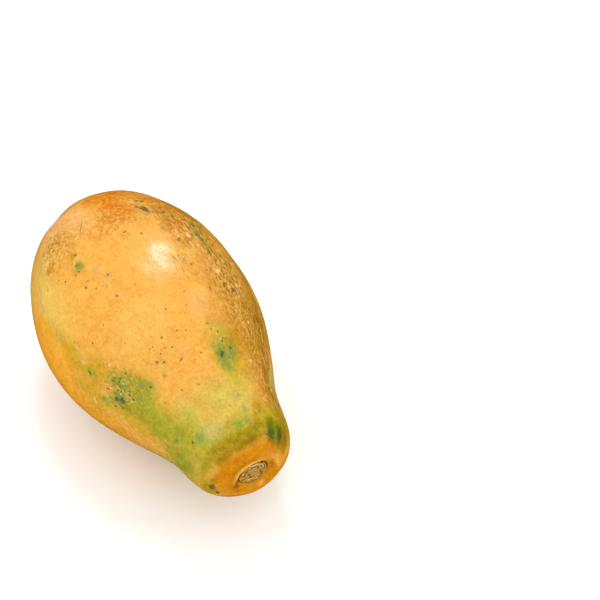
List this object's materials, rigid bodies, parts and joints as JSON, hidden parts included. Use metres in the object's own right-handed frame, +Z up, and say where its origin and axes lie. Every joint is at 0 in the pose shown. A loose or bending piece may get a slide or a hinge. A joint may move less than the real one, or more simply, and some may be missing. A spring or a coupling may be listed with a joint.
{
  "type": "papaya",
  "caption": "Whole pear-shaped papaya with soft lengthwise ridges and a woody stalk stub set in its narrow end, lying on a small flat resting spot.",
  "frame": {"origin": "middle of the underside of the bounding box, on the surface the fruit lies on", "axes": "+X along the fruit from its blossom end to its stem end, +Z up"},
  "size_m": [0.1706, 0.0994, 0.0996],
  "materials": {
    "skin": "thin waxy skin, satin, orange-yellow with green and olive patches, fine pores, specks and scuffs",
    "stalk": "dry cut stalk, matt, fibrous and granular"
  },
  "bodies": {
    "root": {"fruit": "skin", "stem_stub": "stalk"}
  },
  "joints": []
}
